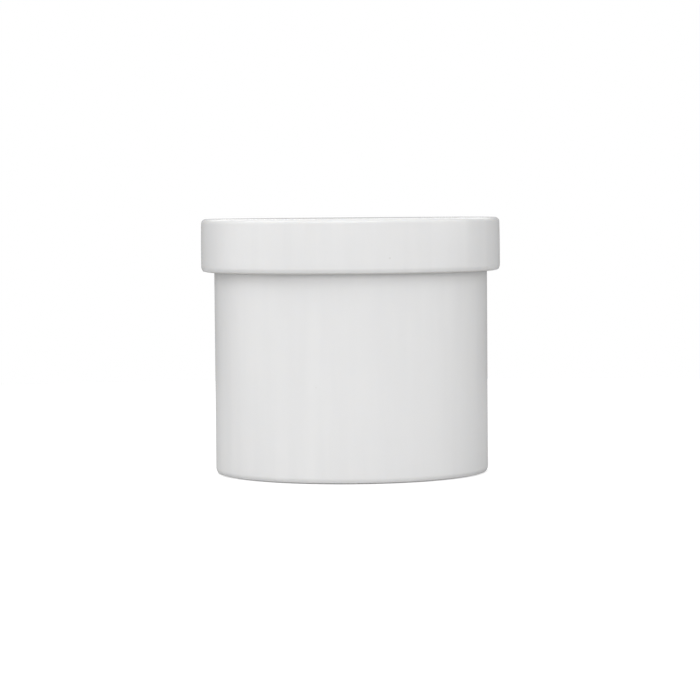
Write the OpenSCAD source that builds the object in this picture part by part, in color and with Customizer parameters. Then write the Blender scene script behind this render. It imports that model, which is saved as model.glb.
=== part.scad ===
// Porcelain crucible with a loose cap lid, in millimetres.
// The crucible stands on its foot at z = 0 with its axis on +Z. The lid rests on the rim
// and its skirt hangs down round the outside of the wall.

/* [Crucible] */
// Outside diameter of the wall
body_od = 40; // [30:0.5:60]
// Height from the foot to the rim
body_h = 35; // [25:0.5:60]
// Thickness of the wall at the rim
rim_wall = 2.4; // [2:0.1:4]
// Thickness of the wall where it meets the floor
base_wall = 3; // [2.4:0.1:5]
// Thickness of the floor, measured above the recess in the foot
floor_t = 2.6; // [2:0.1:5]
// Radius between the floor and the wall, inside
bowl_r = 3; // [1:0.25:6]

/* [Rim and foot edges] */
// Rounding of the rim's outer edge
rim_outer_r = 0.7; // [0.3:0.05:0.9]
// Rounding of the rim's inner edge
rim_inner_r = 0.8; // [0.3:0.05:0.9]
// Rounding of the outer edge at the foot
foot_edge_r = 1; // [0.3:0.05:1.5]

/* [Foot] */
// Width of the flat ring that the crucible stands on
foot_ring_w = 4.5; // [3:0.25:8]
// Depth of the recess inside the ring
recess_d = 0.5; // [0.3:0.05:1]
// How far the recess's edge slopes inward
recess_slope_w = 0.9; // [0.5:0.1:2]
// Rounding at both ends of that slope
recess_r = 0.4; // [0.2:0.05:0.6]

/* [Lid] */
// Thickness of the lid's top plate
lid_plate_t = 2.3; // [1.8:0.1:4]
// Thickness of the skirt
skirt_w = 1.5; // [1.3:0.1:3]
// How far the skirt hangs below the plate's underside
skirt_h = 5.5; // [3:0.25:12]
// Free gap all round between the skirt and the crucible's wall
skirt_gap = 0.4; // [0.2:0.05:1]
// Rounding of the lid's top edge
lid_top_r = 0.7; // [0.3:0.05:1.5]
// Rounding of the skirt's lower outer edge
skirt_outer_r = 1; // [0.3:0.05:1.2]
// Rounding of the skirt's lower inner edge
skirt_inner_r = 0.35; // [0.1:0.05:0.4]
// Least width of the flat edge between those two roundings
skirt_flat_w = 0.1; // [0.05:0.05:0.2]

/* [Hidden] */
$fn = 96;

glaze_white = [0.90, 0.90, 0.89];

// Crucible: radii from the axis, heights from the foot
body_r = body_od / 2;
rim_bore_r = body_r - rim_wall;
base_bore_r = body_r - base_wall;
floor_z = recess_d + floor_t;
foot_inner_r = body_r - foot_ring_w;
recess_top_r = foot_inner_r - recess_slope_w;

// Lid: it seats on the rim, and its skirt is bored to clear the wall
lid_seat_z = body_h;
lid_top_z = lid_seat_z + lid_plate_t;
skirt_foot_z = lid_seat_z - skirt_h;
skirt_bore_r = body_r + skirt_gap;
lid_r = skirt_bore_r + skirt_w;
// The fillet under the plate follows the rim's own rounding, so the rim never rides up on it
lid_corner_r = rim_outer_r;
// On a thin skirt the outer rounding gives way to the flat edge
skirt_edge_r = min(skirt_outer_r, skirt_w - skirt_inner_r - skirt_flat_w);

// Plane geometry for rounded corners: p, v and q are a corner and its two neighbours, and
// r is the rounding
function along(p, q) = (q - p) / norm(q - p);
function half_angle(p, v, q) = acos(along(v, p) * along(v, q)) / 2;
function inward(p, v, q) = cross(v - p, q - v) < 0;
function touch_before(p, v, q, r) = v + along(v, p) * r / tan(half_angle(p, v, q));
function touch_after(p, v, q, r) = v + along(v, q) * r / tan(half_angle(p, v, q));
function arc_centre(p, v, q, r) =
    v + along([0, 0], along(v, p) + along(v, q)) * r / sin(half_angle(p, v, q));

// The two neighbours of a corner, with the corner between them
function at(corners, i) = [for (k = [-1 : 1]) corners[(i + k + len(corners)) % len(corners)][0]];

// What is cut away at a corner to leave its arc: the tip of an outward corner, or the disc
// that an inward corner's arc runs round
module corner_cut(p, v, q, r) {
    centre = arc_centre(p, v, q, r);
    if (inward(p, v, q)) translate(centre) circle(r);
    else difference() {
        polygon([centre, touch_before(p, v, q, r), v + along(centre, v) * r, touch_after(p, v, q, r)]);
        translate(centre) circle(r);
    }
}

// An outline of [point, rounding] corners, anticlockwise, with true arcs. Inward corners
// are first filled across, then every corner is cut to its arc
module rounded_outline(corners) {
    last = len(corners) - 1;
    difference() {
        polygon([for (i = [0 : last]) let (c = at(corners, i), r = corners[i][1])
            each r > 0 && inward(c[0], c[1], c[2])
                ? [touch_before(c[0], c[1], c[2], r), touch_after(c[0], c[1], c[2], r)]
                : [c[1]]]);
        for (i = [0 : last]) {
            c = at(corners, i);
            if (corners[i][1] > 0) corner_cut(c[0], c[1], c[2], corners[i][1]);
        }
    }
}

// The pot itself: foot ring, straight outer wall, flat rim, slightly tapered bowl
module crucible() {
    color(glaze_white) rotate_extrude() rounded_outline([
        [[0, recess_d], 0],
        [[recess_top_r, recess_d], recess_r],
        [[foot_inner_r, 0], recess_r],
        [[body_r, 0], foot_edge_r],
        [[body_r, body_h], rim_outer_r],
        [[rim_bore_r, body_h], rim_inner_r],
        [[base_bore_r, floor_z], bowl_r],
        [[0, floor_z], 0]
    ]);
}

// The cap: a flat plate that seats on the rim, with a skirt round its edge
module lid() {
    color(glaze_white) rotate_extrude() rounded_outline([
        [[0, lid_seat_z], 0],
        [[skirt_bore_r, lid_seat_z], lid_corner_r],
        [[skirt_bore_r, skirt_foot_z], skirt_inner_r],
        [[lid_r, skirt_foot_z], skirt_edge_r],
        [[lid_r, lid_top_z], lid_top_r],
        [[0, lid_top_z], 0]
    ]);
}

crucible();
lid();
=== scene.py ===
"""A glazed porcelain crucible with a loose cap lid, on a pale studio floor.

Both pieces are bodies of revolution. Each outline is a short list of corners of the bare clay,
and one Geometry Nodes tree rounds the corners, lays the glaze over the clay, turns the outline
round the axis and adds the slight unevenness that firing leaves.
"""

from __future__ import annotations

import logging
import math
from dataclasses import dataclass, field
from enum import Enum

import bpy
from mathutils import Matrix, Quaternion, Vector

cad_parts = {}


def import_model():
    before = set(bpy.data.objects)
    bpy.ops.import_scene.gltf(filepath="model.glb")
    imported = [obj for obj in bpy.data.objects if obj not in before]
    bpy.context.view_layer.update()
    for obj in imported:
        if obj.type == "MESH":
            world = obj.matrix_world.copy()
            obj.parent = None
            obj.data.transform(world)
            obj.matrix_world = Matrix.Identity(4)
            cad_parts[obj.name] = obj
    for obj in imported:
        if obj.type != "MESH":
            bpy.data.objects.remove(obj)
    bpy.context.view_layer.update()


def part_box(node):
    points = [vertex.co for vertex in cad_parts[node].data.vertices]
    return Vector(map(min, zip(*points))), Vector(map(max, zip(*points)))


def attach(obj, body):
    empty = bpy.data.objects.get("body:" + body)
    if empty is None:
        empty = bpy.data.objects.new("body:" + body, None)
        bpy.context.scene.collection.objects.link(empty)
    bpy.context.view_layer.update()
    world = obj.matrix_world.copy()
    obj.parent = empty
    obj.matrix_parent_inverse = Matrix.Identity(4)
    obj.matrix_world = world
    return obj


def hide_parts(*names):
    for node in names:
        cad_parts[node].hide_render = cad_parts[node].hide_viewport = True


MM = 0.001
MICRON = 0.000001
GLAZE_ATTRIBUTE = "glaze"
ROUNDING_ATTRIBUTE = "rounding"
Rgba = tuple[float, float, float, float]
WHITE: Rgba = (1, 1, 1, 1)

log = logging.getLogger("crucible")


# ---------------------------------------------------------------------------------------
# Node trees
# ---------------------------------------------------------------------------------------


class Socket(Enum):
    """The kinds of socket that the trees' interfaces use."""

    GEOMETRY = "NodeSocketGeometry"
    FLOAT = "NodeSocketFloat"
    INTEGER = "NodeSocketInt"
    COLOR = "NodeSocketColor"
    VECTOR = "NodeSocketVector"
    MATERIAL = "NodeSocketMaterial"


@dataclass(frozen=True)
class Port:
    """A named input or output of a node group."""

    name: str
    kind: Socket
    default: float | int | tuple[float, ...] | None = None


class Wiring:
    """Adds nodes to one tree and joins them."""

    def __init__(self, tree: bpy.types.NodeTree) -> None:
        """Keep the tree that the nodes go in."""
        self.tree = tree

    def node(self, kind: str, feeds: dict | None = None, **settings: object) -> bpy.types.Node:
        """Add a node, set its properties and feed its sockets.

        Args:
            kind: Blender's identifier of the node type.
            feeds: A socket name or index to the value or output socket that feeds it.
            settings: Properties of the node itself, such as operation.

        Returns:
            The new node.
        """
        node = self.tree.nodes.new(kind)
        for name, value in settings.items():
            setattr(node, name, value)
        for key, value in (feeds or {}).items():
            self.feed(node, key, value)
        return node

    def feed(self, node: bpy.types.Node, key: str | int, value: object) -> None:
        """Join an output socket to one of the node's inputs, or set the input's own value.

        Args:
            node: The node to feed.
            key: The input's name, or its place in the list of inputs.
            value: An output socket, or a plain value.
        """
        if isinstance(key, int):
            socket = node.inputs[key]
        else:
            socket = next(s for s in node.inputs if s.name == key and s.enabled)
        if isinstance(value, bpy.types.NodeSocket):
            self.tree.links.new(value, socket)
        else:
            socket.default_value = value

    def math(self, operation: str, *values: object) -> bpy.types.NodeSocket:
        """Return the result of a Math node with the given operation and inputs."""
        return self.node("ShaderNodeMath", dict(enumerate(values)), operation=operation).outputs[0]

    def vector(self, operation: str, *values: object) -> bpy.types.NodeSocket:
        """Return the result of a Vector Math node, whose Scale input is input 3."""
        feeds = dict(enumerate(values))
        if operation == "SCALE":
            feeds = {0: values[0], 3: values[1]}
        node = self.node("ShaderNodeVectorMath", feeds, operation=operation)
        return node.outputs["Value"] if operation in ("LENGTH", "DOT_PRODUCT") else node.outputs[0]

    def ramp(self, value: object, low: object, high: object, start: object = 0.0,
             end: object = 1.0, smooth: bool = False) -> bpy.types.NodeSocket:
        """Return the value mapped from low..high to start..end, held at both ends.

        Args:
            value: The field to map.
            low: Where the result is start.
            high: Where the result is end.
            start: The result at low.
            end: The result at high.
            smooth: Whether the change eases in and out.

        Returns:
            The mapped field.
        """
        feeds = {0: value, 1: low, 2: high, 3: start, 4: end}
        kind = "SMOOTHSTEP" if smooth else "LINEAR"
        return self.node("ShaderNodeMapRange", feeds, interpolation_type=kind).outputs[0]

    def noise(self, place: object, scale: object, detail: float = 2.0,
              roughness: float = 0.5) -> bpy.types.NodeSocket:
        """Return a smooth random field of 0 to 1, about 0.5 on average."""
        feeds = {"Vector": place, "Scale": scale, "Detail": detail, "Roughness": roughness}
        return self.node("ShaderNodeTexNoise", feeds).outputs[0]

    def group(self, tree: bpy.types.NodeTree, **feeds: object) -> bpy.types.Node:
        """Place a shader node group, with underscores in the keywords standing for spaces."""
        node = self.tree.nodes.new("ShaderNodeGroup")
        node.node_tree = tree
        for name, value in feeds.items():
            self.feed(node, name.replace("_", " "), value)
        return node


class GroupTree(Wiring):
    """A node group with a named interface."""

    def __init__(self, name: str, kind: str, inputs: list[Port], outputs: list[Port]) -> None:
        """Make the group, its sockets and its two end nodes.

        Args:
            name: The group's name.
            kind: ShaderNodeTree or GeometryNodeTree.
            inputs: What the group takes.
            outputs: What the group puts out.
        """
        super().__init__(bpy.data.node_groups.new(name, kind))
        for ports, side in ((inputs, "INPUT"), (outputs, "OUTPUT")):
            for port in ports:
                item = self.tree.interface.new_socket(
                    name=port.name, in_out=side, socket_type=port.kind.value)
                if port.default is not None:
                    item.default_value = port.default
        self.source = self.node("NodeGroupInput").outputs
        self.sink = self.node("NodeGroupOutput")

    def give(self, **results: object) -> None:
        """Feed the group's outputs, with underscores standing for spaces."""
        for name, value in results.items():
            self.feed(self.sink, name.replace("_", " "), value)


# ---------------------------------------------------------------------------------------
# Outlines and turning
# ---------------------------------------------------------------------------------------


@dataclass(frozen=True)
class Corner:
    """A corner of an outline: its distance from the axis, its height and its rounding."""

    radius: float
    height: float
    rounding: float = 0.0


@dataclass(frozen=True)
class Coat:
    """The fired glaze: how thick it lies, and where the clay is wiped bare before firing.

    The cover climbs from 0 to 1 over the height of the lip. Halfway up, the glaze is thicker
    by the bead, as a share of its thickness. The heights given here are beyond any piece, so
    a coat that isn't told otherwise covers the whole piece.
    """

    thickness: float = 0.12 * MM
    lip: float = 0.34 * MM
    bead: float = 0.28
    bare_below: float = -1.0
    bare_above: float = 1.0


@dataclass(frozen=True)
class Unevenness:
    """How far a fired piece strays inward from its true shape, and over what distance."""

    warp: float = 0.05 * MM
    warp_size: float = 30 * MM
    ripple: float = 0.016 * MM
    ripple_size: float = 3.2 * MM
    seed: float = 0.0


class TurningTree(GroupTree):
    """The tree that turns an outline of corners into a glazed body of revolution."""

    # The cover below which a surface is bare, and the cover at which the glaze has its depth
    BARE_COVER = 0.02
    FULL_DEPTH_COVER = 0.45
    # Brings cover times (1 - cover), which is a quarter at most, up to 1
    FULL_SWELL = 4.0
    # Points of the turned grid that lie closer than this are one point
    MERGE_DISTANCE = 1 * MICRON
    # Where the warp's noise reaches this value there is no lean
    NOISE_CREST = 0.75
    # The lean is full at this distance from the axis
    LEAN_REACH = 20 * MM
    # The ripple is drawn out along the axis by one over this, so its waves stand upright
    RIPPLE_SQUEEZE = 0.12

    def __init__(self) -> None:
        """Build the tree from its six stages."""
        super().__init__(
            "Turned Porcelain", "GeometryNodeTree",
            [Port("Outline", Socket.GEOMETRY),
             Port("Turns", Socket.INTEGER, 240),
             Port("Arc Points", Socket.INTEGER, 18),
             Port("Run Step", Socket.FLOAT, 0.7 * MM),
             Port("Glaze Thickness", Socket.FLOAT),
             Port("Glaze Lip", Socket.FLOAT),
             Port("Glaze Bead", Socket.FLOAT),
             Port("Bare Below", Socket.FLOAT),
             Port("Bare Above", Socket.FLOAT),
             Port("Warp", Socket.FLOAT),
             Port("Warp Size", Socket.FLOAT),
             Port("Ripple", Socket.FLOAT),
             Port("Ripple Size", Socket.FLOAT),
             Port("Seed", Socket.FLOAT),
             Port("Glazed Finish", Socket.MATERIAL),
             Port("Bare Finish", Socket.MATERIAL)],
            [Port("Piece", Socket.GEOMETRY)])
        self.position = self.node("GeometryNodeInputPosition").outputs[0]
        self.index = self.node("GeometryNodeInputIndex").outputs[0]
        outline = self.rounded(self.source["Outline"])
        outline = self.divided(outline)
        outline = self.coated(outline)
        piece = self.turned(outline)
        piece = self.fired(piece)
        self.give(Piece=self.dressed(piece))

    def rounded(self, outline: bpy.types.NodeSocket) -> bpy.types.NodeSocket:
        """Return the outline as a curve with an arc at every corner."""
        curve = self.node("GeometryNodeMeshToCurve", {"Mesh": outline}).outputs[0]
        rounding = self.node("GeometryNodeInputNamedAttribute", {"Name": ROUNDING_ATTRIBUTE})
        fillet = self.node("GeometryNodeFilletCurve", mode="POLY")
        self.feed(fillet, "Curve", curve)
        self.feed(fillet, "Count", self.source["Arc Points"])
        self.feed(fillet, "Radius", rounding.outputs[0])
        self.feed(fillet, "Limit Radius", True)
        return fillet.outputs[0]

    def divided(self, outline: bpy.types.NodeSocket) -> bpy.types.NodeSocket:
        """Return the outline with its straight runs cut into steps."""
        so_far = self.node("GeometryNodeSplineParameter").outputs["Length"]
        following = self.node("FunctionNodeIntegerMath", {0: self.index, 1: 1}, operation="ADD")
        next_length = self.node(
            "GeometryNodeFieldAtIndex", {"Value": so_far, "Index": following.outputs[0]},
            domain="POINT", data_type="FLOAT").outputs[0]
        run = self.math("MAXIMUM", self.math("SUBTRACT", next_length, so_far), 0.0)
        cuts = self.math("FLOOR", self.math("DIVIDE", run, self.source["Run Step"]))
        return self.node("GeometryNodeSubdivideCurve", {"Curve": outline, "Cuts": cuts}).outputs[0]

    def cover(self) -> bpy.types.NodeSocket:
        """Return how far the glaze covers the clay: 0 where it was wiped, 1 where it is full."""
        height = self.node("ShaderNodeSeparateXYZ", {0: self.position}).outputs["Z"]
        below, above = self.source["Bare Below"], self.source["Bare Above"]
        lip = self.source["Glaze Lip"]
        from_below = self.ramp(height, below, self.math("ADD", below, lip))
        from_above = self.ramp(height, above, self.math("SUBTRACT", above, lip))
        return self.math("MULTIPLY", from_below, from_above)

    def coated(self, outline: bpy.types.NodeSocket) -> bpy.types.NodeSocket:
        """Return the outline pushed out by the glaze, which ends in a small rolled lip."""
        cover = self.cover()
        partly = self.math("MULTIPLY", cover, self.math("SUBTRACT", 1.0, cover))
        swell = self.math("MULTIPLY", partly, self.FULL_SWELL)
        bead = self.math("MULTIPLY_ADD", swell, self.source["Glaze Bead"], 1.0)
        edge = self.ramp(cover, 0.0, self.FULL_DEPTH_COVER, smooth=True)
        rise = self.math("MULTIPLY", edge, bead)
        depth = self.math("MULTIPLY", self.source["Glaze Thickness"], rise)
        tangent = self.node("GeometryNodeInputTangent").outputs[0]
        run = self.node("ShaderNodeSeparateXYZ", {0: tangent}).outputs
        fall = self.math("MULTIPLY", run["X"], -1.0)
        outward = self.node("ShaderNodeCombineXYZ", {"X": run["Z"], "Z": fall}).outputs[0]
        marked = self.node(
            "GeometryNodeStoreNamedAttribute",
            {"Geometry": outline, "Name": GLAZE_ATTRIBUTE, "Value": cover},
            data_type="FLOAT", domain="POINT").outputs[0]
        return self.node(
            "GeometryNodeSetPosition",
            {"Geometry": marked, "Offset": self.vector("SCALE", outward, depth)}).outputs[0]

    def turned(self, outline: bpy.types.NodeSocket) -> bpy.types.NodeSocket:
        """Return the outline turned round the axis, with its seam and poles closed."""
        size = self.node("GeometryNodeAttributeDomainSize", {"Geometry": outline}, component="CURVE")
        points = size.outputs["Point Count"]
        turns = self.source["Turns"]
        columns = self.node("FunctionNodeIntegerMath", {0: turns, 1: 1}, operation="ADD").outputs[0]
        grid = self.node("GeometryNodeMeshGrid", {"Vertices X": columns, "Vertices Y": points})
        step = self.node("FunctionNodeIntegerMath", {0: self.index, 1: points}, operation="MODULO")
        # Half a point on, so that rounding never drops a point into the column before
        halfway_on = self.math("ADD", self.index, 0.5)
        column = self.math("FLOOR", self.math("DIVIDE", halfway_on, points))
        angle = self.math("DIVIDE", self.math("MULTIPLY", column, 2 * math.pi), turns)
        corner = self.sampled(outline, self.position, step.outputs[0], "FLOAT_VECTOR")
        place = self.node(
            "ShaderNodeVectorRotate", {"Vector": corner, "Axis": (0, 0, 1), "Angle": angle},
            rotation_type="AXIS_ANGLE").outputs[0]
        glaze = self.node("GeometryNodeInputNamedAttribute", {"Name": GLAZE_ATTRIBUTE}).outputs[0]
        mesh = self.node(
            "GeometryNodeStoreNamedAttribute",
            {"Geometry": grid.outputs["Mesh"], "Name": GLAZE_ATTRIBUTE,
             "Value": self.sampled(outline, glaze, step.outputs[0], "FLOAT")},
            data_type="FLOAT", domain="POINT").outputs[0]
        mesh = self.node("GeometryNodeSetPosition", {"Geometry": mesh, "Position": place}).outputs[0]
        return self.node(
            "GeometryNodeMergeByDistance",
            {"Geometry": mesh, "Distance": self.MERGE_DISTANCE}).outputs[0]

    def sampled(self, outline: bpy.types.NodeSocket, value: bpy.types.NodeSocket,
                step: bpy.types.NodeSocket, data_type: str) -> bpy.types.NodeSocket:
        """Return a field of the outline, read at its point number step."""
        sample = self.node("GeometryNodeSampleIndex", data_type=data_type, domain="POINT")
        self.feed(sample, "Geometry", outline)
        self.feed(sample, "Value", value)
        self.feed(sample, "Index", step)
        return sample.outputs[0]

    def fired(self, piece: bpy.types.NodeSocket) -> bpy.types.NodeSocket:
        """Return the piece drawn slightly out of true, always inward of its full size."""
        seed = self.node("ShaderNodeCombineXYZ", {"X": self.source["Seed"], "Y": self.source["Seed"]})
        place = self.vector("ADD", self.position, seed.outputs[0])
        slow = self.noise(place, self.math("DIVIDE", 1.0, self.source["Warp Size"]), detail=1.0)
        sideways = self.vector("MULTIPLY", self.position, (1, 1, 0))
        reach = self.math("DIVIDE", self.vector("LENGTH", sideways), self.LEAN_REACH)
        reach = self.math("MINIMUM", reach, 1.0)
        lean = self.math("MULTIPLY", self.math("SUBTRACT", slow, self.NOISE_CREST), self.source["Warp"])
        lean = self.math("MULTIPLY", self.math("MINIMUM", lean, 0.0), reach)
        shift = self.vector("SCALE", self.vector("NORMALIZE", sideways), lean)
        moved = self.node("GeometryNodeSetPosition", {"Geometry": piece, "Offset": shift}).outputs[0]

        upright = self.vector("MULTIPLY", place, (1, 1, self.RIPPLE_SQUEEZE))
        quick = self.noise(upright, self.math("DIVIDE", 1.0, self.source["Ripple Size"]), detail=1.5)
        dip = self.math("MULTIPLY", self.math("SUBTRACT", quick, 1.0), self.source["Ripple"])
        normal = self.node("GeometryNodeInputNormal").outputs[0]
        return self.node(
            "GeometryNodeSetPosition",
            {"Geometry": moved, "Offset": self.vector("SCALE", normal, dip)}).outputs[0]

    def dressed(self, piece: bpy.types.NodeSocket) -> bpy.types.NodeSocket:
        """Return the piece smooth-shaded, glazed, and bare where the glaze was wiped."""
        smooth = self.node("GeometryNodeSetShadeSmooth", {"Geometry": piece}).outputs[0]
        glazed = self.node(
            "GeometryNodeSetMaterial",
            {"Geometry": smooth, "Material": self.source["Glazed Finish"]}).outputs[0]
        glaze = self.node("GeometryNodeInputNamedAttribute", {"Name": GLAZE_ATTRIBUTE}).outputs[0]
        wiped = self.node(
            "FunctionNodeCompare", {"A": glaze, "B": self.BARE_COVER},
            operation="LESS_THAN").outputs[0]
        both = self.node(
            "GeometryNodeSetMaterial",
            {"Geometry": glazed, "Selection": wiped, "Material": self.source["Bare Finish"]}).outputs[0]
        return self.node("GeometryNodeRealizeInstances", {"Geometry": both}).outputs[0]


@dataclass(frozen=True)
class Turning:
    """What the turning tree is told for one piece."""

    coat: Coat
    unevenness: Unevenness
    glazed: bpy.types.Material
    bare: bpy.types.Material

    def inputs(self) -> dict[str, object]:
        """Return the tree's inputs by name."""
        return {
            "Glaze Thickness": self.coat.thickness,
            "Glaze Lip": self.coat.lip,
            "Glaze Bead": self.coat.bead,
            "Bare Below": self.coat.bare_below,
            "Bare Above": self.coat.bare_above,
            "Warp": self.unevenness.warp,
            "Warp Size": self.unevenness.warp_size,
            "Ripple": self.unevenness.ripple,
            "Ripple Size": self.unevenness.ripple_size,
            "Seed": self.unevenness.seed,
            "Glazed Finish": self.glazed,
            "Bare Finish": self.bare,
        }


def turn_piece(name: str, corners: list[Corner], tree: TurningTree,
               turning: Turning) -> bpy.types.Object:
    """Turn an outline into a plain mesh object.

    Args:
        name: The piece's name.
        corners: The clay's outline, from the axis out, up and back to the axis.
        tree: The turning tree.
        turning: Its values for this piece.

    Returns:
        The piece, with no modifier left on it.
    """
    outline = bpy.data.meshes.new(name + "_outline")
    runs = [(i, i + 1) for i in range(len(corners) - 1)]
    outline.from_pydata([(c.radius, 0, c.height) for c in corners], runs, [])
    rounding = outline.attributes.new(ROUNDING_ATTRIBUTE, "FLOAT", "POINT")
    rounding.data.foreach_set("value", [c.rounding for c in corners])
    piece = bpy.data.objects.new(name, outline)
    bpy.context.scene.collection.objects.link(piece)

    modifier = piece.modifiers.new("Turning", "NODES")
    modifier.node_group = tree.tree
    given = turning.inputs()
    for item in tree.tree.interface.items_tree:
        if item.in_out == "INPUT" and item.name in given:
            modifier[item.identifier] = given[item.name]
    evaluated = piece.evaluated_get(bpy.context.evaluated_depsgraph_get())
    mesh = bpy.data.meshes.new_from_object(evaluated)
    mesh.name = name
    piece.modifiers.remove(modifier)
    piece.data = mesh
    bpy.data.meshes.remove(outline)
    return piece


# ---------------------------------------------------------------------------------------
# Finishes
# ---------------------------------------------------------------------------------------


def fired_specks_tree() -> GroupTree:
    """Return the group that scatters the small dark iron specks of a fired body.

    Returns:
        A group that gives a mask, 1 in the middle of a speck.
    """
    least_size = 0.3  # a speck is this to 1.3 times the given size
    core = 0.3  # and full dark over this share of it
    tree = GroupTree(
        "Fired Specks", "ShaderNodeTree",
        [Port("Place", Socket.VECTOR), Port("Spacing", Socket.FLOAT),
         Port("Speck Size", Socket.FLOAT), Port("Share", Socket.FLOAT)],
        [Port("Mask", Socket.FLOAT)])
    spacing = tree.source["Spacing"]
    cells = tree.node(
        "ShaderNodeTexVoronoi",
        {"Vector": tree.source["Place"], "Scale": tree.math("DIVIDE", 1.0, spacing)})
    away = tree.math("MULTIPLY", cells.outputs["Distance"], spacing)
    draw = tree.node("ShaderNodeSeparateColor", {0: cells.outputs["Color"]}).outputs
    size = tree.math("ADD", draw["Green"], least_size)
    reach = tree.math("MULTIPLY", tree.source["Speck Size"], size)
    dot = tree.ramp(away, reach, tree.math("MULTIPLY", reach, core), smooth=True)
    chosen = tree.math("LESS_THAN", draw["Red"], tree.source["Share"])
    tree.give(Mask=tree.math("MULTIPLY", dot, chosen))
    return tree


def turning_marks_tree() -> GroupTree:
    """Return the group for the fine rings that a forming tool leaves round a piece.

    Returns:
        A group that gives a height about 0 to 1, rings on walls and flats alike.
    """
    tree = GroupTree(
        "Turning Marks", "ShaderNodeTree",
        [Port("Place", Socket.VECTOR), Port("Pitch", Socket.FLOAT)],
        [Port("Height", Socket.FLOAT)])
    place = tree.source["Place"]
    reach = tree.vector("LENGTH", tree.vector("MULTIPLY", place, (1, 1, 0)))
    height = tree.node("ShaderNodeSeparateXYZ", {0: place}).outputs["Z"]
    along = tree.node("ShaderNodeCombineXYZ", {"X": reach, "Y": height}).outputs[0]
    tree.give(Height=tree.noise(along, tree.math("DIVIDE", 1.0, tree.source["Pitch"]), detail=3.0))
    return tree


def tone_drift_tree() -> GroupTree:
    """Return the group that lets a colour drift slowly over a surface.

    Returns:
        A group that mixes a second colour in, by a slow noise, and gives the noise too.
    """
    none_below, full_above = 0.3, 0.7
    tree = GroupTree(
        "Tone Drift", "ShaderNodeTree",
        [Port("Place", Socket.VECTOR), Port("Patch Size", Socket.FLOAT),
         Port("Color", Socket.COLOR), Port("Drift Color", Socket.COLOR),
         Port("Amount", Socket.FLOAT)],
        [Port("Color", Socket.COLOR), Port("Drift", Socket.FLOAT)])
    scale = tree.math("DIVIDE", 1.0, tree.source["Patch Size"])
    patches = tree.noise(tree.source["Place"], scale, detail=3.0)
    drift = tree.ramp(patches, none_below, full_above, smooth=True)
    mix = tree.node(
        "ShaderNodeMix", {0: tree.math("MULTIPLY", drift, tree.source["Amount"])},
        data_type="RGBA")
    tree.feed(mix, "A", tree.source["Color"])
    tree.feed(mix, "B", tree.source["Drift Color"])
    tree.give(Color=mix.outputs["Result"], Drift=drift)
    return tree


@dataclass(frozen=True)
class Span:
    """Where a rise starts and where it is full. Either may be the higher value."""

    start: float
    full: float


@dataclass(frozen=True)
class Specks:
    """The small dark specks of a finish. Cells are spacing wide, and a share of them hold one."""

    color: Rgba
    spacing: float
    size: float
    share: float
    strength: float


@dataclass
class FinishTrees:
    """The shader groups that the finishes share."""

    specks: GroupTree = field(default_factory=fired_specks_tree)
    marks: GroupTree = field(default_factory=turning_marks_tree)
    drift: GroupTree = field(default_factory=tone_drift_tree)


class Finish:
    """Common ground of the two finishes: a material with a Principled BSDF and its helpers."""

    def start(
            self, name: str
    ) -> tuple[bpy.types.Material, Wiring, bpy.types.Node, bpy.types.NodeSocket]:
        """Make a material.

        Args:
            name: The material's name.

        Returns:
            The material, its wiring, its Principled BSDF and the object coordinates.
        """
        material = bpy.data.materials.new(name)
        material.use_nodes = True
        wiring = Wiring(material.node_tree)
        shader = next(n for n in material.node_tree.nodes if n.type == "BSDF_PRINCIPLED")
        place = wiring.node("ShaderNodeTexCoord").outputs["Object"]
        return material, wiring, shader, place

    def blend(self, wiring: Wiring, share: object, under: object, over: object) -> bpy.types.NodeSocket:
        """Return one colour laid over another by share."""
        mix = wiring.node("ShaderNodeMix", {0: share}, data_type="RGBA")
        wiring.feed(mix, "A", under)
        wiring.feed(mix, "B", over)
        return mix.outputs["Result"]

    def speckled(self, wiring: Wiring, trees: FinishTrees, place: object, color: object,
                 specks: Specks) -> bpy.types.NodeSocket:
        """Return a colour with the finish's specks on it.

        Args:
            wiring: The material's wiring.
            trees: The shader groups that the finishes share.
            place: The object coordinates.
            color: The colour under the specks.
            specks: The specks.

        Returns:
            The speckled colour.
        """
        cells = wiring.group(
            trees.specks.tree, Place=place, Spacing=specks.spacing, Speck_Size=specks.size,
            Share=specks.share)
        seen = wiring.math("MULTIPLY", cells.outputs["Mask"], specks.strength)
        return self.blend(wiring, seen, color, specks.color)

    def bump(self, wiring: Wiring, height: object, distance: float) -> bpy.types.NodeSocket:
        """Return the normal of a surface that rises by distance as height goes from 0 to 1."""
        return wiring.node(
            "ShaderNodeBump", {"Height": height, "Distance": distance, "Strength": 1.0}).outputs[0]


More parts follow.
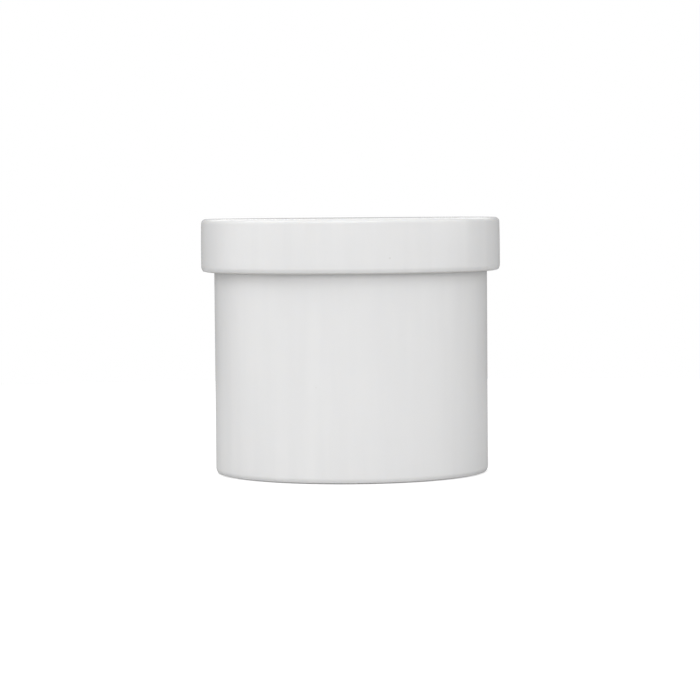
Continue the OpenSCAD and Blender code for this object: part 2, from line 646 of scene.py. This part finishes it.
@dataclass(frozen=True)
class GlazedPorcelain(Finish):
    """White porcelain under a clear feldspar glaze, with a soft gloss."""

    white: Rgba = (0.848, 0.846, 0.844, 1)
    drift_white: Rgba = (0.826, 0.826, 0.827, 1)
    drift_size: float = 14 * MM
    run_white: Rgba = (0.812, 0.812, 0.813, 1)
    run_width: float = 2.4 * MM
    run_stretch: float = 14.0
    run_amount: float = 0.7
    thin_white: Rgba = (0.83, 0.815, 0.785, 1)
    thin_cover: Span = Span(0.9, 0.1)
    thin_amount: float = 0.8
    specks: Specks = Specks((0.42, 0.38, 0.32, 1), 2.6 * MM, 0.16 * MM, share=0.2, strength=0.22)
    roughness: float = 0.2
    roughness_drift: float = 0.05
    thin_roughness: float = 0.2
    peel_size: float = 1.6 * MM
    peel_depth: float = 6 * MICRON
    marks_pitch: float = 1.3 * MM
    marks_depth: float = 4 * MICRON
    refraction: float = 1.5
    scatter: float = 0.12
    scatter_reach: tuple[float, float, float] = (1.0, 0.9, 0.75)
    scatter_depth: float = 0.6 * MM

    def material(self, trees: FinishTrees) -> bpy.types.Material:
        """Make the glazed finish.

        Args:
            trees: The shader groups that the finishes share.

        Returns:
            The material.
        """
        material, wiring, shader, place = self.start("glazed_porcelain")
        drift = wiring.group(
            trees.drift.tree, Place=place, Patch_Size=self.drift_size, Color=self.white,
            Drift_Color=self.drift_white, Amount=1.0)
        upright = wiring.vector("MULTIPLY", place, (1, 1, 1 / self.run_stretch))
        runs = wiring.group(
            trees.drift.tree, Place=upright, Patch_Size=self.run_width, Color=drift.outputs["Color"],
            Drift_Color=self.run_white, Amount=self.run_amount)
        glaze = wiring.node("ShaderNodeAttribute", attribute_name=GLAZE_ATTRIBUTE).outputs["Fac"]
        thin = wiring.ramp(
            glaze, self.thin_cover.start, self.thin_cover.full, 0.0, self.thin_amount, smooth=True)
        color = self.blend(wiring, thin, runs.outputs["Color"], self.thin_white)
        wiring.feed(shader, "Base Color", self.speckled(wiring, trees, place, color, self.specks))

        matt = wiring.ramp(
            drift.outputs["Drift"], 0.0, 1.0, self.roughness, self.roughness + self.roughness_drift)
        wiring.feed(shader, "Roughness", wiring.math("MULTIPLY_ADD", thin, self.thin_roughness, matt))

        peel = wiring.noise(place, 1 / self.peel_size, detail=2.0, roughness=0.4)
        marks = wiring.group(trees.marks.tree, Place=place, Pitch=self.marks_pitch).outputs["Height"]
        share = self.marks_depth / self.peel_depth
        height = wiring.math("MULTIPLY_ADD", marks, share, peel)
        wiring.feed(shader, "Normal", self.bump(wiring, height, self.peel_depth))
        shader.inputs["IOR"].default_value = self.refraction
        shader.inputs["Subsurface Weight"].default_value = self.scatter
        shader.inputs["Subsurface Radius"].default_value = self.scatter_reach
        shader.inputs["Subsurface Scale"].default_value = self.scatter_depth
        return material


@dataclass(frozen=True)
class BarePorcelain(Finish):
    """Porcelain with no glaze: matt, faintly warm, with fine grain and rubbed grey patches."""

    clay: Rgba = (0.80, 0.785, 0.755, 1)
    drift_clay: Rgba = (0.755, 0.735, 0.70, 1)
    drift_size: float = 5 * MM
    rubbed: Rgba = (0.56, 0.55, 0.53, 1)
    rub_size: float = 2.2 * MM
    rub_noise: Span = Span(0.52, 0.8)
    rub_on_marks: Span = Span(0.35, 0.65)
    rub_low: float = 0.25
    rub_high: float = 0.75
    specks: Specks = Specks((0.36, 0.31, 0.25, 1), 2.5 * MM, 0.14 * MM, share=0.3, strength=0.6)
    roughness: float = 0.72
    roughness_drift: float = 0.06
    grain_size: float = 0.12 * MM
    grain_depth: float = 9 * MICRON
    marks_pitch: float = 0.28 * MM
    marks_share: float = 0.8

    def material(self, trees: FinishTrees) -> bpy.types.Material:
        """Make the bare finish.

        Args:
            trees: The shader groups that the finishes share.

        Returns:
            The material.
        """
        material, wiring, shader, place = self.start("bare_porcelain")
        drift = wiring.group(
            trees.drift.tree, Place=place, Patch_Size=self.drift_size, Color=self.clay,
            Drift_Color=self.drift_clay, Amount=1.0)
        marks = wiring.group(trees.marks.tree, Place=place, Pitch=self.marks_pitch).outputs["Height"]
        patches = wiring.noise(place, 1 / self.rub_size, detail=4.0, roughness=0.65)
        rub = wiring.math(
            "MULTIPLY", wiring.ramp(patches, self.rub_noise.start, self.rub_noise.full),
            wiring.ramp(marks, self.rub_on_marks.start, self.rub_on_marks.full,
                        self.rub_low, self.rub_high))
        color = self.blend(wiring, rub, drift.outputs["Color"], self.rubbed)
        wiring.feed(shader, "Base Color", self.speckled(wiring, trees, place, color, self.specks))
        wiring.feed(shader, "Roughness", wiring.ramp(
            drift.outputs["Drift"], 0.0, 1.0,
            self.roughness - self.roughness_drift, self.roughness + self.roughness_drift))
        grain = wiring.noise(place, 1 / self.grain_size, detail=3.0, roughness=0.6)
        height = wiring.math("MULTIPLY_ADD", marks, self.marks_share, grain)
        wiring.feed(shader, "Normal", self.bump(wiring, height, self.grain_depth))
        return material


# ---------------------------------------------------------------------------------------
# The two pieces
# ---------------------------------------------------------------------------------------


@dataclass
class Crucible:
    """The pot: a foot ring, a straight wall, a flat rim and a slightly tapered bowl."""

    radius: float
    height: float
    rim_wall: float = 2.4 * MM
    base_wall: float = 3.0 * MM
    floor: float = 2.6 * MM
    bowl_rounding: float = 3.0 * MM
    rim_outer_rounding: float = 0.7 * MM
    rim_inner_rounding: float = 0.8 * MM
    foot_rounding: float = 1.0 * MM
    foot_ring: float = 4.5 * MM
    recess: float = 0.5 * MM
    recess_slope: float = 0.9 * MM
    recess_rounding: float = 0.4 * MM
    wiped: float = 0.1 * MM
    name: str = "crucible_pot"

    def corners(self, glaze: float) -> list[Corner]:
        """Return the clay's outline, set in by the glaze wherever the glaze covers it.

        Args:
            glaze: The thickness of the glaze.

        Returns:
            The corners, from the middle of the foot round to the middle of the bowl.
        """
        ring = self.radius - self.foot_ring
        bed = self.recess + self.floor - glaze
        return [
            Corner(0, self.recess + glaze),
            Corner(ring - self.recess_slope, self.recess + glaze, self.recess_rounding),
            Corner(ring, 0, self.recess_rounding),
            Corner(self.radius - glaze, 0, self.foot_rounding - glaze),
            Corner(self.radius - glaze, self.height, self.rim_outer_rounding - glaze),
            Corner(self.radius - self.rim_wall + glaze, self.height, self.rim_inner_rounding - glaze),
            Corner(self.radius - self.base_wall + glaze, bed, self.bowl_rounding + glaze),
            Corner(0, bed),
        ]

    def build(self, tree: TurningTree, glazed: bpy.types.Material,
              bare: bpy.types.Material) -> bpy.types.Object:
        """Turn and dress the pot.

        Args:
            tree: The turning tree.
            glazed: The finish of the glazed surface.
            bare: The finish of the foot ring and the rim.

        Returns:
            The finished piece.
        """
        coat = Coat(bare_below=self.wiped, bare_above=self.height - self.wiped)
        turning = Turning(coat, Unevenness(), glazed, bare)
        return turn_piece(self.name, self.corners(coat.thickness), tree, turning)


@dataclass
class CapLid:
    """The cap: a flat plate that rests on the rim, and a skirt that hangs outside the wall."""

    radius: float
    seat: float
    top: float
    skirt_foot: float
    skirt: float = 1.5 * MM
    top_rounding: float = 0.7 * MM
    skirt_outer_rounding: float = 1.0 * MM
    skirt_inner_rounding: float = 0.35 * MM
    corner_rounding: float = 0.7 * MM
    shoulder: float = 3.4 * MM
    shoulder_lean: float = 0.06 * MM
    shoulder_rounding: float = 60 * MM
    dish: float = 0.06 * MM
    wiped: float = 0.1 * MM
    name: str = "cap_lid"

    def corners(self, glaze: float) -> list[Corner]:
        """Return the clay's outline, set in by the glaze wherever the glaze covers it.

        Args:
            glaze: The thickness of the glaze.

        Returns:
            The corners, from the middle of the underside round to the middle of the top.
        """
        bore = self.radius - self.skirt + glaze
        outer = self.radius - glaze
        top = self.top - glaze
        return [
            Corner(0, self.seat + glaze),
            Corner(bore, self.seat + glaze, self.corner_rounding + glaze),
            Corner(bore, self.skirt_foot, self.skirt_inner_rounding - glaze),
            Corner(outer, self.skirt_foot, self.skirt_outer_rounding - glaze),
            Corner(outer, self.top - self.shoulder, self.shoulder_rounding),
            Corner(outer - self.shoulder_lean, top, self.top_rounding - glaze),
            Corner(0, top - self.dish),
        ]

    def build(self, tree: TurningTree, glazed: bpy.types.Material,
              bare: bpy.types.Material) -> bpy.types.Object:
        """Turn and dress the cap.

        Args:
            tree: The turning tree.
            glazed: The finish of the glazed surface.
            bare: The finish of the skirt's lower edge.

        Returns:
            The finished piece.
        """
        coat = Coat(bare_below=self.skirt_foot + self.wiped)
        turning = Turning(coat, Unevenness(seed=3.7), glazed, bare)
        return turn_piece(self.name, self.corners(coat.thickness), tree, turning)


# ---------------------------------------------------------------------------------------
# The studio
# ---------------------------------------------------------------------------------------


@dataclass(frozen=True)
class Panel:
    """A soft light panel that hangs round the object and faces it.

    The azimuth runs from the camera's side toward +X, in degrees. The glaze shows the panel's
    reflection only when it is mirrored.
    """

    name: str
    azimuth: float
    elevation: float
    distance: float
    width: float
    height: float
    watts: float
    mirrored: bool = True

    def hang(self, target: Vector) -> None:
        """Hang the panel.

        Args:
            target: The point that it faces.
        """
        light = bpy.data.lights.new(self.name, "AREA")
        light.shape = "RECTANGLE"
        light.size, light.size_y = self.width, self.height
        light.energy = self.watts
        panel = bpy.data.objects.new(self.name, light)
        turn, rise = math.radians(self.azimuth), math.radians(self.elevation)
        flat = math.cos(rise)
        way = Vector((math.sin(turn) * flat, -math.cos(turn) * flat, math.sin(rise)))
        panel.location = target + way * self.distance
        panel.rotation_euler = (-way).to_track_quat("-Z", "Y").to_euler()
        panel.visible_camera = False
        panel.visible_glossy = self.mirrored
        bpy.context.scene.collection.objects.link(panel)


@dataclass(frozen=True)
class Viewpoint:
    """Where the camera stands: almost level with the lid, looking slightly down."""

    distance: float = 409.4 * MM
    eye_above_lid: float = 1.5 * MM
    aim_below_lid: float = 19.4 * MM
    sideways: float = -0.18 * MM
    tilt: float = math.radians(0.46)
    lens: float = 143.5
    sensor: float = 36.0
    nearest: float = 0.01
    farthest: float = 20

    def place(self, lid_top: float) -> None:
        """Make the camera and use it.

        Args:
            lid_top: The height of the lid's top.
        """
        data = bpy.data.cameras.new("camera")
        data.lens, data.sensor_width = self.lens, self.sensor
        data.clip_start, data.clip_end = self.nearest, self.farthest
        camera = bpy.data.objects.new("camera", data)
        camera.location = (self.sideways, -self.distance, lid_top + self.eye_above_lid)
        aim = Vector((self.sideways, 0, lid_top - self.aim_below_lid))
        level = (aim - camera.location).to_track_quat("-Z", "Y")
        camera.rotation_mode = "QUATERNION"
        camera.rotation_quaternion = level @ Quaternion((0, 0, 1), -self.tilt)
        bpy.context.scene.collection.objects.link(camera)
        bpy.context.scene.camera = camera


@dataclass
class Studio:
    """The stage round the object: a pale floor disc, soft panels, and white beyond."""

    floor_radius: float = 0.22
    floor_sides: int = 128
    floor_white: float = 0.5
    floor_glow: float = 0.68
    gloom: float = 0.32
    panels: tuple[Panel, ...] = (
        Panel("key_panel", azimuth=-6, elevation=33, distance=0.9,
              width=0.9, height=0.7, watts=2.7),
        Panel("high_panel", azimuth=5, elevation=58, distance=0.9,
              width=0.8, height=0.4, watts=0.7),
        Panel("low_panel", azimuth=0, elevation=12, distance=1.1,
              width=2.2, height=0.6, watts=4.2, mirrored=False),
        Panel("left_high_panel", azimuth=-80, elevation=46, distance=0.9,
              width=0.6, height=0.45, watts=1.75),
        Panel("left_low_panel", azimuth=-88, elevation=16, distance=0.9,
              width=0.9, height=0.6, watts=1.1),
        Panel("right_panel", azimuth=78, elevation=24, distance=0.9,
              width=0.8, height=0.8, watts=1.85),
        Panel("back_panel", azimuth=178, elevation=38, distance=0.9,
              width=1.2, height=0.5, watts=2.6),
    )

    def floor(self) -> bpy.types.Object:
        """Return the floor: a matt pale disc, which shows to the camera as bright as white paper."""
        angles = [2 * math.pi * i / self.floor_sides for i in range(self.floor_sides)]
        rim = [(self.floor_radius * math.cos(a), self.floor_radius * math.sin(a), 0) for a in angles]
        mesh = bpy.data.meshes.new("floor")
        mesh.from_pydata(rim, [], [tuple(range(self.floor_sides))])
        material = bpy.data.materials.new("floor_white")
        material.use_nodes = True
        wiring = Wiring(material.node_tree)
        shader = next(n for n in material.node_tree.nodes if n.type == "BSDF_PRINCIPLED")
        shader.inputs["Base Color"].default_value = (self.floor_white,) * 3 + (1,)
        shader.inputs["Roughness"].default_value = 1.0
        shader.inputs["Specular IOR Level"].default_value = 0.0
        shader.inputs["Emission Color"].default_value = WHITE
        seen = wiring.node("ShaderNodeLightPath").outputs["Is Camera Ray"]
        wiring.feed(shader, "Emission Strength", wiring.math("MULTIPLY", seen, self.floor_glow))
        mesh.materials.append(material)
        floor = bpy.data.objects.new("floor", mesh)
        bpy.context.scene.collection.objects.link(floor)
        return floor

    def surroundings(self) -> None:
        """Make the world: white to the camera, and a dim room to everything else."""
        world = bpy.data.worlds.new("surroundings")
        world.use_nodes = True
        bpy.context.scene.world = world
        wiring = Wiring(world.node_tree)
        wiring.tree.nodes.clear()
        seen = wiring.node("ShaderNodeLightPath").outputs["Is Camera Ray"]
        room = wiring.node("ShaderNodeBackground", {"Color": WHITE, "Strength": self.gloom})
        white = wiring.node("ShaderNodeBackground", {"Color": WHITE, "Strength": 1.0})
        mix = wiring.node("ShaderNodeMixShader", {0: seen, 1: room.outputs[0], 2: white.outputs[0]})
        wiring.node("ShaderNodeOutputWorld", {"Surface": mix.outputs[0]})

    def build(self, lid_top: float) -> None:
        """Set up the whole stage.

        Args:
            lid_top: The height of the lid's top.
        """
        self.floor()
        self.surroundings()
        for panel in self.panels:
            panel.hang(Vector((0, 0, lid_top / 2)))
        Viewpoint().place(lid_top)
        bpy.context.scene.view_settings.view_transform = "Standard"


# ---------------------------------------------------------------------------------------
# Assembly
# ---------------------------------------------------------------------------------------


def settle(piece: bpy.types.Object, node: str, body: str) -> None:
    """Let a finished piece stand for its CAD node and move with its body.

    Args:
        piece: The finished piece.
        node: The CAD node that it stands for.
        body: The CAD body that it rides on.
    """
    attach(piece, body)
    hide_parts(node)
    log.info("%s: %d faces, rides on %s", piece.name, len(piece.data.polygons), body)


def main() -> None:
    """Build the crucible, its lid and the studio."""
    logging.basicConfig(level=logging.INFO, format="%(name)s: %(message)s")
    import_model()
    pot_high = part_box("crucible")[1]
    lid_low, lid_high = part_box("lid")

    Studio().build(lid_high.z)
    trees = FinishTrees()
    glazed = GlazedPorcelain().material(trees)
    bare = BarePorcelain().material(trees)
    turning = TurningTree()
    pot = Crucible(pot_high.x, pot_high.z).build(turning, glazed, bare)
    settle(pot, "crucible", "crucible")
    lid = CapLid(lid_high.x, pot_high.z, lid_high.z, lid_low.z).build(turning, glazed, bare)
    settle(lid, "lid", "lid")


if __name__ == "__main__":
    main()
